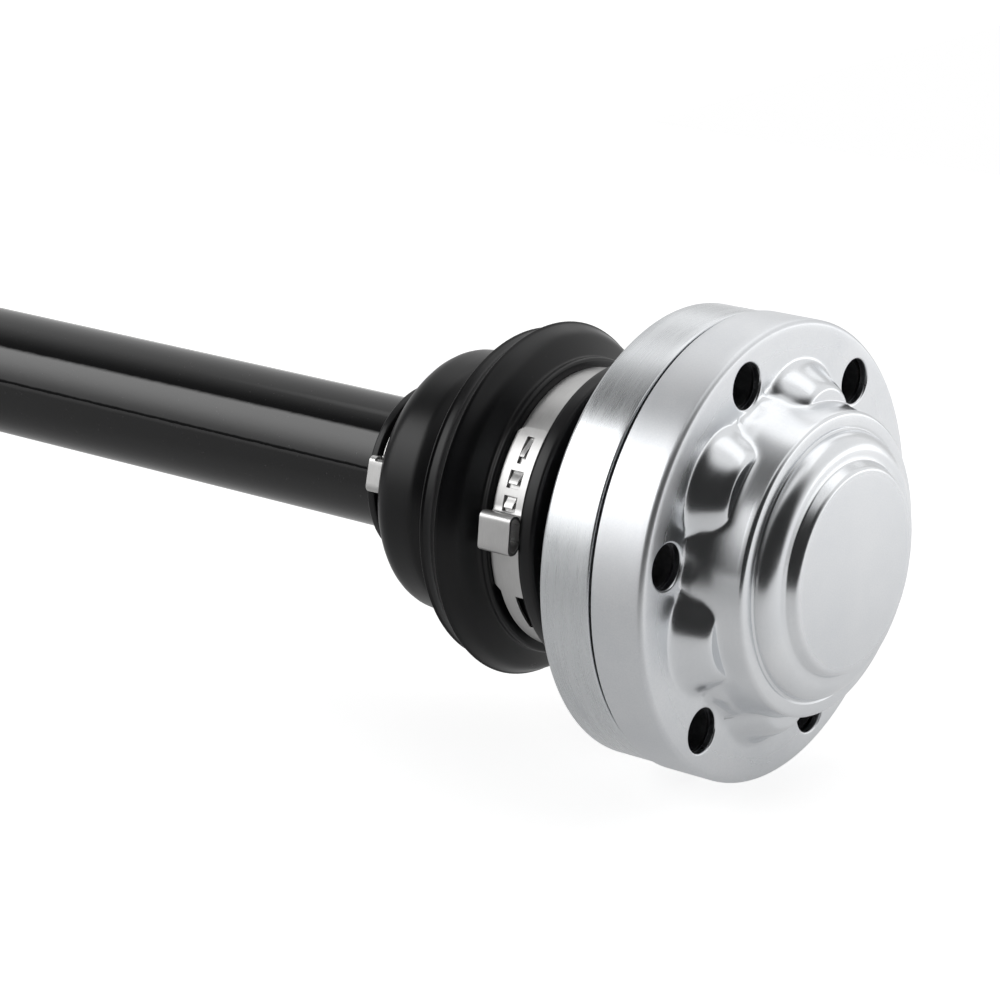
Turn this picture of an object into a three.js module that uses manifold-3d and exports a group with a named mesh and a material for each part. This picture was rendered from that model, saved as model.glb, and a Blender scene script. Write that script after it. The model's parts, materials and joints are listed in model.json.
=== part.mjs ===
// A rear half shaft with two constant-velocity joints. Millimetres, +Z up. X runs along the axle:
// the flanged plunging joint is at +X, the splined wheel stub at -X, and the origin is at mid-length.
import * as THREE from 'three';
import { mergeVertices } from 'three/addons/utils/BufferGeometryUtils.js';
import Module from 'manifold-3d';

const wasm = await Module();
wasm.setup();

// ---- driving dimensions -------------------------------------------------------------------------
const LENGTH = 620;             // dome of the end cap to tip of the threaded stub
const DOME_RISE = 21.3;         // dome top in front of the bolting face
const FACE_X = LENGTH / 2 - DOME_RISE;
const FLANGE_R = 56;            // end cap over the joint body
const SHEET = 2.0;              // pressed steel of the end cap
const ADAPTER_SHEET = 1.8;      // pressed steel of the boot adapter
const CAP_DEPTH = 14.2;         // skirt of the end cap, measured from the bolting face
const SEAM = 0.9;               // gap between the cap's skirt and the adapter's skirt
const FLANGE_DEPTH = 29.4;      // bolting face to rear face of the adapter
const BOLT_CIRCLE_R = 47;
const BOLT_COUNT = 6;
const BOLT_PHASE = 49;          // degrees from +Y towards +Z
const BOLT_HOLE_R = 5.25;       // M10 clearance through the joint body
const SHEET_HOLE_R = 5.5;       // the same holes in the two pressings
const PILLOW = { height: 7.8, centre: 33, radius: 14, slope: 6.4 };  // round relief over a ball track
const SHOULDER = { height: 2.4, radius: 41.4, slope: 1.5 };     // step all round inside the holes
const WALL_FOOT = { height: 5.2, radius: 38, width: 0.65 };      // where the dome's wall leaves the web
const WEB_RADII = [47, 44, 41.2, 38.8];                         // rows of points in the relief
const NECK_R = 31.4;            // tubular neck that carries the boot
const NECK_END = 60;            // distance of the neck's end from the bolting face

const INNER_CENTRE = -15;       // centre of the bending, measured from the bolting face
const INNER_BALL_R = 9.5;
const INNER_PITCH_R = 31;
const INNER_CAGE_R = 33;        // outer sphere of the cage
const INNER_CAGE_BORE = 28.4;   // inner sphere of the cage
const INNER_RACE_R = 28;

const OUTER_CENTRE_X = -182;
const OUTER_BALL_R = 8.5;
const OUTER_PITCH_R = 28.5;
const OUTER_CAGE_R = 31;
const OUTER_CAGE_BORE = 26.7;
const OUTER_RACE_R = 26.3;
const BELL_R = 44;
const HUB_SHOULDER = -40;       // face that the wheel bearing rests on, from the outer joint's centre
const STUB_END = -128;
const THREAD_R = 11.9;
const OUTER_PHASE = 30;         // degrees from +Y to the first outer ball
const TRACK_PLAY = 1.3;         // room that a rigidly bisected ball needs in a bent track

const TRACKS = 6;
const TRACK_PITCH = 360 / TRACKS;
const INNER_PHASE = BOLT_PHASE - TRACK_PITCH / 2;

const TUBE_R = 17;
const TUBE_BORE = 13;
const TUBE_START = 86;          // distance of the tube's end from the bolting face
const TUBE_END_X = OUTER_CENTRE_X + 74;
const JOURNAL_R = 13.2;
const RACE_SPLINE = { teeth: 16, root: 11.9, tip: 12.7 };
const HUB_SPLINE = { teeth: 27, root: 13.6, tip: 14.7 };
const SNAP_RING_X = 13.3;       // snap rings sit outside the inner races
const SMALL_CLAMP = { halfWidth: 3.4, innerR: 20.5, thickness: 0.7, ear: { length: 8, height: 5.6 } };
const FIT = 0.3;                // clearance that keeps neighbouring solids apart

// ---- shapes about the X axis --------------------------------------------------------------------
const deg = THREE.MathUtils.degToRad;
const smooth = (t) => THREE.MathUtils.smoothstep(t, 0, 1);

function closed(geometry) {
  const bare = geometry.clone();
  bare.deleteAttribute('normal');
  bare.deleteAttribute('uv');
  const merged = mergeVertices(bare, 1e-4);
  const corners = merged.index.array;
  const kept = [];
  for (let i = 0; i < corners.length; i += 3) {
    const [a, b, c] = corners.slice(i, i + 3);
    if (a !== b && b !== c && c !== a) kept.push(a, b, c);
  }
  merged.setIndex(kept);
  return merged;
}

function solid(geometry) {
  const shape = closed(geometry);
  return new wasm.Manifold(new wasm.Mesh({
    numProp: 3,
    vertProperties: Float32Array.from(shape.attributes.position.array),
    triVerts: Uint32Array.from(shape.index.array),
  }));
}

function surface(manifold) {
  const { vertProperties, triVerts } = manifold.getMesh();
  const geometry = new THREE.BufferGeometry();
  geometry.setAttribute('position', new THREE.BufferAttribute(vertProperties, 3));
  geometry.setIndex(new THREE.BufferAttribute(triVerts, 1));
  geometry.computeVertexNormals();
  return geometry;
}

// An outline of [x, radius] points turned about the X axis, listed in either direction.
function turned(outline, segments = 36) {
  const doubleArea = outline.reduce((sum, [x, r], i) => {
    const [nextX, nextR] = outline[(i + 1) % outline.length];
    return sum + r * nextX - nextR * x;
  }, 0);
  const ordered = doubleArea < 0 ? [...outline].reverse() : outline;
  const points = ordered.map(([x, r]) => new THREE.Vector2(r, x));
  if (points[0].x > 0 || points.at(-1).x > 0) points.push(points[0].clone());
  return new THREE.LatheGeometry(points, segments).rotateZ(-Math.PI / 2);
}

// Points on an arc in the outline's plane; angles in degrees from +X towards larger radius.
function arc(x, r, radius, from, to, steps) {
  return Array.from({ length: steps + 1 }, (_, i) => {
    const angle = deg(from + ((to - from) * i) / steps);
    return [x + radius * Math.cos(angle), r + radius * Math.sin(angle)];
  });
}

const rod = (radius, from, to, segments) => new THREE.CylinderGeometry(
  radius, radius, Math.abs(to - from), segments).rotateZ(-Math.PI / 2).translate((from + to) / 2, 0, 0);

// Cuts a ring of equal holes or grooves, the first one turned by the phase in degrees.
function minusRing(body, geometry, count, phase) {
  let result = body;
  for (let i = 0; i < count; i++) {
    const cutter = geometry.clone().rotateX(deg(phase + (i * 360) / count));
    result = result.subtract(solid(cutter));
  }
  return result;
}

// A straight-sided spline section, grown outwards by the clearance given.
function splineSection({ teeth, root, tip }, clearance) {
  const step = (2 * Math.PI) / teeth;
  const points = [];
  for (let i = 0; i < teeth; i++) {
    for (const [turn, r] of [[-0.36, root], [-0.2, tip], [0.2, tip], [0.36, root]]) {
      const angle = (i + turn) * step;
      points.push(new THREE.Vector2(Math.cos(angle), Math.sin(angle)).multiplyScalar(r + clearance));
    }
  }
  return new THREE.Shape(points);
}

const splinedRod = (spline, from, to, clearance = 0) => new THREE.ExtrudeGeometry(
  splineSection(spline, clearance), { depth: to - from, bevelEnabled: false, steps: 1 })
  .rotateY(Math.PI / 2).translate(from, 0, 0);

// ---- pressed relief shared by the end cap and the boot adapter -----------------------------------
// Height of the relief over the flat web: a step and the foot of the wall, with a round pillow over
// each ball track.
function reliefHeight(radius, angle) {
  const turns = (angle - deg(INNER_PHASE)) / deg(TRACK_PITCH);
  const off = (turns - Math.round(turns)) * deg(TRACK_PITCH);
  const spread = Math.hypot(radius * Math.cos(off) - PILLOW.centre, radius * Math.sin(off));
  const pillow = PILLOW.height * smooth((PILLOW.radius - spread) / PILLOW.slope);
  const shoulder = SHOULDER.height * smooth((SHOULDER.radius - radius) / SHOULDER.slope);
  const foot = WALL_FOOT.height * Math.log1p(Math.exp((WALL_FOOT.radius - radius) / WALL_FOOT.width));
  return Math.max(pillow, shoulder + foot);
}

// Lifts the flat web between two radii into the relief, on both faces of the sheet.
function pressed(geometry, web, direction) {
  const position = geometry.attributes.position;
  for (let i = 0; i < position.count; i++) {
    const [x, y, z] = [position.getX(i), position.getY(i), position.getZ(i)];
    const radius = Math.hypot(y, z);
    const onWeb = x > web.from - 0.01 && x < web.to + 0.01 && radius > WEB_RADII.at(-1) - 0.1;
    if (onWeb) position.setX(i, x + direction * reliefHeight(radius, Math.atan2(z, y)));
  }
  return geometry;
}

function withBoltHoles(body, radius) {
  const hole = rod(radius, -45, 15, 16).translate(0, BOLT_CIRCLE_R, 0);
  return minusRing(body, hole, BOLT_COUNT, BOLT_PHASE);
}

// ---- flanged inner joint: x = 0 is the bolting face ----------------------------------------------
function endCap() {
  const outside = [
    [-CAP_DEPTH, FLANGE_R],
    ...arc(-2.8, FLANGE_R - 2.8, 2.8, 90, 0, 2),
    ...WEB_RADII.map((r) => [0, r]),
    [9.4, 37.2], [12.8, 36.6], [14.2, 34.6], [14.4, 32.5], [16.4, 31.8], [18, 29.8], [18.7, 26.6],
    [20.6, 25], [DOME_RISE, 23], [DOME_RISE, 0],
  ];
  const inside = [
    [DOME_RISE - SHEET, 0], [DOME_RISE - SHEET, 22.2], [16.6, 24.6], [16, 28.6], [14.4, 30.4],
    [12.4, 31.4], [12.2, 34],
    ...WEB_RADII.toReversed().map((r) => [-SHEET, r]),
    [-SHEET, FLANGE_R - 3.6], [-3.4, FLANGE_R - SHEET],
    [-CAP_DEPTH, FLANGE_R - SHEET],
  ];
  const shell = turned([...outside, ...inside]).rotateX(deg(INNER_PHASE));
  const sheet = { from: -SHEET, to: 0 };
  return withBoltHoles(solid(pressed(shell, sheet, 1)), SHEET_HOLE_R);
}

function bootAdapter() {
  const rim = FLANGE_R - 0.5;
  const outside = [
    [-CAP_DEPTH - SEAM, rim - 0.5], [-CAP_DEPTH - SEAM - 0.5, rim],
    [-FLANGE_DEPTH + 1, rim], [-FLANGE_DEPTH, rim - 1],
    ...WEB_RADII.map((r) => [-FLANGE_DEPTH, r]),
    [-38.6, 36.4], [-40.8, 33.2], [-43.6, NECK_R], [-NECK_END, NECK_R],
  ];
  const inside = [
    [-NECK_END, NECK_R - ADAPTER_SHEET], [-42, NECK_R - ADAPTER_SHEET], [-39, 33], [-36.8, 35.4],
    ...WEB_RADII.toReversed().map((r) => [-FLANGE_DEPTH + ADAPTER_SHEET, r]),
    [-FLANGE_DEPTH + ADAPTER_SHEET, rim - ADAPTER_SHEET - 1],
    [-FLANGE_DEPTH + ADAPTER_SHEET + 1, rim - ADAPTER_SHEET],
    [-CAP_DEPTH - SEAM, rim - ADAPTER_SHEET],
  ];
  const shell = turned([...outside, ...inside]).rotateX(deg(INNER_PHASE));
  const sheet = { from: -FLANGE_DEPTH, to: -FLANGE_DEPTH + ADAPTER_SHEET };
  return withBoltHoles(solid(pressed(shell, sheet, -1)), SHEET_HOLE_R);
}

function innerOuterRace() {
  const rim = FLANGE_R - 0.5 - ADAPTER_SHEET - 0.4;
  const front = -SHEET - 0.4;
  const rear = -FLANGE_DEPTH + ADAPTER_SHEET + 0.4;
  const bore = INNER_CAGE_R + FIT;
  const ring = turned([
    [front, rim - 2], [front - 2, rim], [rear + 2, rim], [rear, rim - 2], [rear, bore], [front, bore],
  ]);
  const track = rod(INNER_BALL_R + FIT + 0.2, rear - 2, front + 2, 18).translate(0, INNER_PITCH_R, 0);
  return withBoltHoles(minusRing(solid(ring), track, TRACKS, INNER_PHASE), BOLT_HOLE_R);
}

// A ball cage: a spherical ring with one rounded-off window for each ball.
function cage(outerR, innerR, halfWidth, window, phase) {
  const edge = (radius) => THREE.MathUtils.radToDeg(Math.acos(halfWidth / radius));
  const ring = turned([
    ...arc(0, 0, outerR, edge(outerR), 180 - edge(outerR), 5),
    ...arc(0, 0, innerR, 180 - edge(innerR), edge(innerR), 4),
  ], 24);
  const opening = new THREE.BoxGeometry(window.width, outerR, window.length).translate(0, outerR, 0);
  return minusRing(solid(ring), opening, TRACKS, phase);
}

function innerRace() {
  const halfWidth = 10;
  const edge = THREE.MathUtils.radToDeg(Math.acos(halfWidth / INNER_RACE_R));
  const star = solid(turned([
    ...arc(0, 0, INNER_RACE_R, edge, 180 - edge, 4), [-halfWidth, 0], [halfWidth, 0],
  ]));
  const track = rod(INNER_BALL_R + 0.7, -15, 15, 18).translate(0, INNER_PITCH_R, 0);
  const bore = splinedRod(RACE_SPLINE, -15, 15, FIT);
  return minusRing(star, track, TRACKS, INNER_PHASE).subtract(solid(bore));
}

// ---- fixed outer joint: x = 0 is its centre ------------------------------------------------------
function outerInnerRace() {
  const halfWidth = 11;
  const edge = THREE.MathUtils.radToDeg(Math.acos(halfWidth / OUTER_RACE_R));
  const star = solid(turned([
    ...arc(0, 0, OUTER_RACE_R, edge, 180 - edge, 4), [-halfWidth, 0], [halfWidth, 0],
  ]));
  const track = new THREE.TorusGeometry(OUTER_PITCH_R, OUTER_BALL_R + TRACK_PLAY, 12, 24);
  const bore = splinedRod(RACE_SPLINE, -15, 15, FIT);
  return minusRing(star, track, TRACKS / 2, OUTER_PHASE).subtract(solid(bore));
}

// The bell's ball tracks are bent round the joint's centre and run out of its mouth.
class TrackArc extends THREE.Curve {
  getPoint(t, target = new THREE.Vector3()) {
    const angle = deg(-36 + t * 90);
    return target.set(OUTER_PITCH_R * Math.sin(angle), OUTER_PITCH_R * Math.cos(angle), 0);
  }
}

function outerHousing() {
  const cavity = OUTER_CAGE_R + 0.4;
  const body = solid(turned([
    [17, 0], [17, 42.4], [15.6, BELL_R - 0.6], [12.4, BELL_R - 0.6], [11.6, 42], [3, 42], [2, BELL_R],
    [-20, BELL_R], [-29, 40], [-35, 30], [-37, 26], [HUB_SHOULDER, 26], [HUB_SHOULDER, 17.4],
    [-46, 17], [-46, 13], [-98, 13], [-101, 11.2], [-103, THREAD_R], [STUB_END + 1.6, THREAD_R],
    [STUB_END, THREAD_R - 1.5], [STUB_END, 0],
  ], 30));
  const room = solid(turned([
    [18, 0], [18, 36], [12, Math.sqrt(cavity ** 2 - 12 ** 2)],
    ...arc(0, 0, cavity, 72, 150, 6), [-27.2, 0],
  ], 30));
  const section = new THREE.Shape().absarc(0, 0, OUTER_BALL_R + TRACK_PLAY, 0, 2 * Math.PI);
  const sweep = { steps: 7, curveSegments: 6, extrudePath: new TrackArc() };
  const track = new THREE.ExtrudeGeometry(section, sweep);
  const teeth = splinedRod(HUB_SPLINE, -98, -46);
  return minusRing(body.subtract(room), track, TRACKS, OUTER_PHASE).add(solid(teeth));
}

// ---- shared small pieces -------------------------------------------------------------------------
const ball = (radius, pitch) => new THREE.SphereGeometry(radius, 9, 7)
  .rotateX(Math.PI / 2).translate(0, pitch, 0);

const ring = (halfWidth, innerR, outerR, segments = 24) => turned([
  [-halfWidth, outerR], [halfWidth, outerR], [halfWidth, innerR], [-halfWidth, innerR],
], segments);

// An open snap ring with a gap for the pliers.
function snapRing(halfWidth, innerR, outerR) {
  const gap = new THREE.BoxGeometry(4, 8, 3).translate(0, (innerR + outerR) / 2, 0);
  return solid(ring(halfWidth, innerR, outerR)).subtract(solid(gap));
}

// A dished spring washer: its outer edge leans towards -X.
const springWasher = (innerR, outerR, dish) => turned([
  [0, innerR], [-dish, outerR], [1 - dish, outerR], [1, innerR],
], 24);

// A band clamp with its crimped ear standing up on the +Y side.
function bandClamp({ halfWidth, innerR, thickness, ear }) {
  const band = solid(ring(halfWidth, innerR, innerR + thickness, 30));
  const outline = new THREE.Shape();
  outline.moveTo(-ear.length / 2, 0);
  outline.lineTo(-ear.length / 2, ear.height - 1);
  outline.lineTo(-ear.length / 2 + 1, ear.height);
  outline.lineTo(ear.length / 2 - 1, ear.height);
  outline.lineTo(ear.length / 2, ear.height - 1);
  outline.lineTo(ear.length / 2, 0);
  const pinch = new THREE.ExtrudeGeometry(outline, { depth: 2 * halfWidth, bevelEnabled: false })
    .rotateY(Math.PI / 2).translate(-halfWidth, innerR + thickness / 2, 0);
  return band.add(solid(pinch));
}

// Boots, from the joint's clamp seat to the shaft's: outer outline, then the plain inner one.
const innerBoot = () => turned([
  [-44.4, 38.6], [-48.6, 38], [-49.4, 34], [-59.2, 34], [-60.4, 37.4], [-65, 41.8], [-69.4, 44.6],
  [-75.6, 42.2], [-79.6, 32.4], [-83, 32.6], [-86.5, 33.5], [-95, 33.3], [-99, 29.4], [-99.4, 20.2],
  [-106.4, 20.2], [-106.8, 22.4], [-109, 22.4], [-109, TUBE_R + FIT], [-98, TUBE_R + FIT],
  [-95.2, 28.4], [-87, 30], [-80, 29.2], [-73, 39.4], [-62, 34],
  [-58, NECK_R + FIT], [-44.4, NECK_R + FIT],
], 24);

const outerBoot = () => turned([
  [2.6, 45], [12, 45], [22, 43.4], [27, 41], [32, 32.6], [39.5, 38], [47.5, 28.6], [55, 32.8],
  [62.5, 25], [70, 28.4], [77, 21.6], [80, 20.2], [90, 20.2],
  [90, TUBE_R + FIT], [78, TUBE_R + FIT], [70, 23], [39.5, 33], [22, 40.6],
  [18, BELL_R + FIT], [2.6, BELL_R + FIT],
], 24);

function hubNut() {
  const hexagon = new THREE.CylinderGeometry(20.2, 20.2, 15, 6).rotateZ(-Math.PI / 2);
  const collar = rod(22, 4.5, 7.5, 24);
  const bore = rod(THREAD_R + 2 * FIT, -12, 12, 24);
  return solid(hexagon).add(solid(collar)).subtract(solid(bore));
}

// ---- shaft ---------------------------------------------------------------------------------------
const tube = () => {
  const start = FACE_X - TUBE_START;
  return turned([[TUBE_END_X, TUBE_R], [start, TUBE_R], [start, TUBE_BORE], [TUBE_END_X, TUBE_BORE]], 24);
};

// A solid journal: weld collar, taper, plain part, splined seat of the race and snap-ring groove.
// It points along +X with the joint's centre at x = 0, and weldX is the end of the tube.
function journal(weldX) {
  const body = solid(turned([
    [weldX, 0], [weldX, TUBE_R], [weldX + 6, TUBE_R], [weldX + 13, JOURNAL_R], [-15.6, JOURNAL_R],
    [-15.6, 11.6], [12.2, 11.6], [12.2, 11], [14.4, 11], [14.4, 12], [16.6, 12], [17.6, 11], [17.6, 0],
  ], 24));
  return body.add(solid(splinedRod(RACE_SPLINE, -14.4, 12)));
}

// ---- the assembly --------------------------------------------------------------------------------
const zinc = { color: 0xc9ccd0, metalness: 0.95, roughness: 0.28 };
const steel = { color: 0x8e9194, metalness: 0.9, roughness: 0.35 };
const forged = { color: 0x55585c, metalness: 0.85, roughness: 0.5 };
const paint = { color: 0x0a0a0b, metalness: 0.1, roughness: 0.12 };
const rubber = { color: 0x141416, metalness: 0, roughness: 0.5 };
const stainless = { color: 0xd2d2d0, metalness: 0.95, roughness: 0.22 };

const axle = new THREE.Group();
const innerJoint = new THREE.Group();
const innerBalls = new THREE.Group();
const outerJoint = new THREE.Group();
innerJoint.position.x = FACE_X;
innerBalls.position.x = INNER_CENTRE;
outerJoint.position.x = OUTER_CENTRE_X;
innerJoint.add(innerBalls);
axle.add(innerJoint, outerJoint);

// Adds one named piece to a group, moved along the axle by x and turned about it by turn degrees.
function add(group, name, shape, look, { x = 0, turn = 0 } = {}) {
  const geometry = shape.isBufferGeometry ? closed(shape) : surface(shape);
  const mesh = new THREE.Mesh(geometry, new THREE.MeshStandardMaterial(look));
  mesh.name = name;
  mesh.position.x = x;
  mesh.rotation.x = deg(turn);
  group.add(mesh);
  return mesh;
}

add(innerJoint, 'inner_joint_end_cap', endCap(), zinc);
add(innerJoint, 'inner_joint_boot_adapter', bootAdapter(), zinc);
add(innerJoint, 'inner_joint_outer_race', innerOuterRace(), forged);
add(innerBalls, 'inner_joint_cage', cage(INNER_CAGE_R, INNER_CAGE_BORE, 12,
  { width: 2 * INNER_BALL_R + 0.6, length: 22 }, INNER_PHASE), steel);
add(innerBalls, 'inner_joint_inner_race', innerRace(), steel);
add(innerBalls, 'inner_joint_snap_ring', snapRing(0.9, 11.3, 14.6), steel, { x: SNAP_RING_X });
add(innerBalls, 'inner_joint_spring_washer', springWasher(13.2, 17, 1.2), steel, { x: -12.6 });
add(outerJoint, 'outer_joint_housing', outerHousing(), forged);
add(outerJoint, 'outer_joint_cage', cage(OUTER_CAGE_R, OUTER_CAGE_BORE, 12.5,
  { width: 2 * OUTER_BALL_R + 0.6, length: 20 }, OUTER_PHASE), steel);
add(outerJoint, 'outer_joint_inner_race', outerInnerRace(), steel);
add(outerJoint, 'outer_joint_snap_ring', snapRing(0.9, 11.3, 14.6), steel, { x: -SNAP_RING_X });
add(outerJoint, 'outer_joint_spacer_ring', ring(1.4, 13.2, 16.6), steel, { x: 13.2 });
for (let i = 0; i < TRACKS; i++) {
  add(innerBalls, `inner_joint_ball_${i + 1}`, ball(INNER_BALL_R, INNER_PITCH_R), steel,
    { turn: INNER_PHASE + i * TRACK_PITCH });
  add(outerJoint, `outer_joint_ball_${i + 1}`, ball(OUTER_BALL_R, OUTER_PITCH_R), steel,
    { turn: OUTER_PHASE + i * TRACK_PITCH });
}

add(axle, 'shaft_tube', tube(), paint);
add(innerBalls, 'shaft_inner_journal', journal(-TUBE_START - INNER_CENTRE + FIT), forged);
const outerJournal = journal(OUTER_CENTRE_X - TUBE_END_X + FIT);
add(outerJoint, 'shaft_outer_journal', outerJournal, forged).rotation.z = Math.PI;

add(innerJoint, 'inner_boot', innerBoot(), rubber);
add(innerJoint, 'inner_boot_large_clamp', bandClamp(
  { halfWidth: 4.6, innerR: 34.3, thickness: 0.8, ear: { length: 9, height: 5.6 } }), stainless,
{ x: -54.4, turn: 174 });
add(innerJoint, 'inner_boot_small_clamp', bandClamp(SMALL_CLAMP), stainless, { x: -102.8, turn: 167 });
add(outerJoint, 'outer_boot', outerBoot(), rubber);
add(outerJoint, 'outer_boot_large_clamp', bandClamp(
  { halfWidth: 4.2, innerR: 45.3, thickness: 0.8, ear: { length: 9, height: 5 } }), stainless,
{ x: 7.4, turn: 10 });
add(outerJoint, 'outer_boot_small_clamp', bandClamp(SMALL_CLAMP), stainless, { x: 85.4, turn: 10 });
add(outerJoint, 'hub_nut', hubNut(), steel, { x: -115 });

export default axle;
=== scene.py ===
# Looks of a half shaft with two constant-velocity joints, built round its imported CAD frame.
# Metres in the file, millimetres in every outline and size below. +X runs towards the flanged joint.
import json
import math

import bmesh
import bpy
from mathutils import Matrix, Vector


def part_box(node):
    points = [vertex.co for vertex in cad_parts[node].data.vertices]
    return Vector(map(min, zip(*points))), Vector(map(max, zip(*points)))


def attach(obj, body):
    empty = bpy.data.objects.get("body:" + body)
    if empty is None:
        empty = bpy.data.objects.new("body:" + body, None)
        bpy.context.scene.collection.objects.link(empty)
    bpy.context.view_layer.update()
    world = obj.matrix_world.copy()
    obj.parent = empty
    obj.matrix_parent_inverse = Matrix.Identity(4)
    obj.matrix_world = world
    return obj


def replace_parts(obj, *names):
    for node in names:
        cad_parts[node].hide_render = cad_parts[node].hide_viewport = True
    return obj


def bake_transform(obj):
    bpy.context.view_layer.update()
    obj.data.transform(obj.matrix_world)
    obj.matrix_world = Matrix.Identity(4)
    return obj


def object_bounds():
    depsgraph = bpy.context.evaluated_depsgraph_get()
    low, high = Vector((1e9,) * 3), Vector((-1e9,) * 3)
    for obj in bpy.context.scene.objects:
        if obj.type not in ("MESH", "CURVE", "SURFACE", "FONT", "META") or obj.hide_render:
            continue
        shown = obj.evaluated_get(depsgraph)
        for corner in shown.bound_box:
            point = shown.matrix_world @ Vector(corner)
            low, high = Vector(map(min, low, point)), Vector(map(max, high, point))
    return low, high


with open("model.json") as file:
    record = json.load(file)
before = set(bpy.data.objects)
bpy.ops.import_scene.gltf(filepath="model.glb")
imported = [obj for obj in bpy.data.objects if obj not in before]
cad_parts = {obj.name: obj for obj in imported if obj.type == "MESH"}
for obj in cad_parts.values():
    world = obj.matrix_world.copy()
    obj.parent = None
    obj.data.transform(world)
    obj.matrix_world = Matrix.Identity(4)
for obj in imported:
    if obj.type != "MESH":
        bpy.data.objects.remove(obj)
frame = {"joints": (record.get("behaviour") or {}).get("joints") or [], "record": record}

cad_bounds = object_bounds()
MM = 0.001
FLOOR_Z = cad_bounds[0][2]

joints = {joint["name"]: joint for joint in frame["joints"]}
mounts = {mount["name"]: mount for mount in frame["record"]["mounts"]}
FACE = mounts["flange_face"]["pos_m"][0] / MM          # bolting plane of the flange
INNER = joints["inner_bend"]["pos_m"][0] / MM          # centre of the flanged joint
OUTER = joints["outer_bend"]["pos_m"][0] / MM          # centre of the wheel-side joint
FLANGE_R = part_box("inner_joint_end_cap")[1].y / MM
TUBE_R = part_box("shaft_tube")[1].y / MM

SECTOR = 60
BOLT_PHASE = 49                 # degrees from +Y towards +Z to the first bolt hole
TRACK_PHASE = BOLT_PHASE - SECTOR / 2
OUTER_PHASE = 30
BOLT_CIRCLE_R = 47
BOLT_HOLE_R = 5.5
BOLTS = 360 // SECTOR
INNER_PITCH_R, INNER_BALL_R, INNER_TRACK_R = 31, 9.5, 10
OUTER_PITCH_R, OUTER_BALL_R = 28.5, 8.5
SHAFT_TEETH = 16
CREASE_DEGREES = 38             # a crease sharper than this is shaded as an edge
BEVEL_DEGREES = 45              # an edge sharper than this is rounded by softened()


# ---- outlines ----------------------------------------------------------------
def rounded(corners, step=14):
    """Points of an outline through corners (x, radius, corner radius), each corner made an arc."""
    flat = [Vector(corner[:2]) for corner in corners]
    points = [flat[0]]
    for before, here, after, corner in zip(flat, flat[1:], flat[2:], corners[1:]):
        back, ahead = before - here, after - here
        turn = math.pi - back.angle(ahead)
        if corner[2] == 0 or turn < 0.01:
            points.append(here)
            continue
        reach = min(corner[2] * math.tan(turn / 2), 0.49 * back.length, 0.49 * ahead.length)
        radius = reach / math.tan(turn / 2)
        start = here + back.normalized() * reach
        centre = here + (back.normalized() + ahead.normalized()).normalized() * radius / math.cos(turn / 2)
        side = 1 if back.cross(ahead) < 0 else -1
        count = max(2, round(math.degrees(turn) / step))
        for i in range(count + 1):
            points.append(centre + Matrix.Rotation(side * turn * i / count, 2) @ (start - centre))
    points.append(flat[-1])
    return [(point.x, point.y) for point in points]


def divided(outline, longest):
    """The outline with extra points, so that no stretch is longer than a given length."""
    points = [outline[0]]
    for start, end in zip(outline, outline[1:]):
        count = max(1, math.ceil(math.dist(start, end) / longest))
        for i in range(1, count + 1):
            points.append(tuple(a + (b - a) * i / count for a, b in zip(start, end)))
    return points


def smooth(t):
    t = min(max(t, 0.0), 1.0)
    return t * t * (3 - 2 * t)


def polar(x, radius, degrees):
    angle = math.radians(degrees)
    return Vector((x, radius * math.cos(angle), radius * math.sin(angle))) * MM


# ---- meshes ------------------------------------------------------------------
def data_of(mesh, name):
    """Mesh data made of a bmesh, which is freed."""
    data = bpy.data.meshes.new(name)
    mesh.to_mesh(data)
    mesh.free()
    return data


def placed(name, data):
    """A new object of some data, in the scene."""
    made = bpy.data.objects.new(name, data)
    bpy.context.scene.collection.objects.link(made)
    return made


def piece(name, mesh, material, body=None, replaces=()):
    """Makes an object of a finished mesh, with its material and its CAD body."""
    bmesh.ops.recalc_face_normals(mesh, faces=mesh.faces)
    mesh = data_of(mesh, name)
    mesh.polygons.foreach_set("use_smooth", [True] * len(mesh.polygons))
    mesh.set_sharp_from_angle(angle=math.radians(CREASE_DEGREES))
    mesh.materials.clear()
    mesh.materials.append(material)
    made = placed(name, mesh)
    if body:
        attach(made, body)
    if replaces:
        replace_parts(made, *replaces)
    return made


def skinned(rings, closed):
    """A mesh of rings of points joined one to the next; a ring of one point is a pole."""
    mesh = bmesh.new()
    rows = [[mesh.verts.new(point) for point in ring] for ring in rings]
    pairs = list(zip(rows, rows[1:]))
    if closed:
        pairs.append((rows[-1], rows[0]))
    for row, other in pairs:
        for i in range(max(len(row), len(other))):
            corners = []
            for vert in (row[i % len(row)], row[(i + 1) % len(row)],
                         other[(i + 1) % len(other)], other[i % len(other)]):
                if vert not in corners:
                    corners.append(vert)
            if len(corners) > 2:
                mesh.faces.new(corners)
    return mesh


def surface(outline, radius_at=None, segments=144, closed=False):
    """An outline turned about the X axis; radius_at(x, r, degrees) may reshape each point."""
    rings = []
    for x, r in outline:
        if r < 1e-6:
            rings.append([Vector((x, 0, 0)) * MM])
            continue
        angles = [i * 360 / segments for i in range(segments)]
        rings.append([polar(x, radius_at(x, r, a) if radius_at else r, a) for a in angles])
    return skinned(rings, closed)


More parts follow.
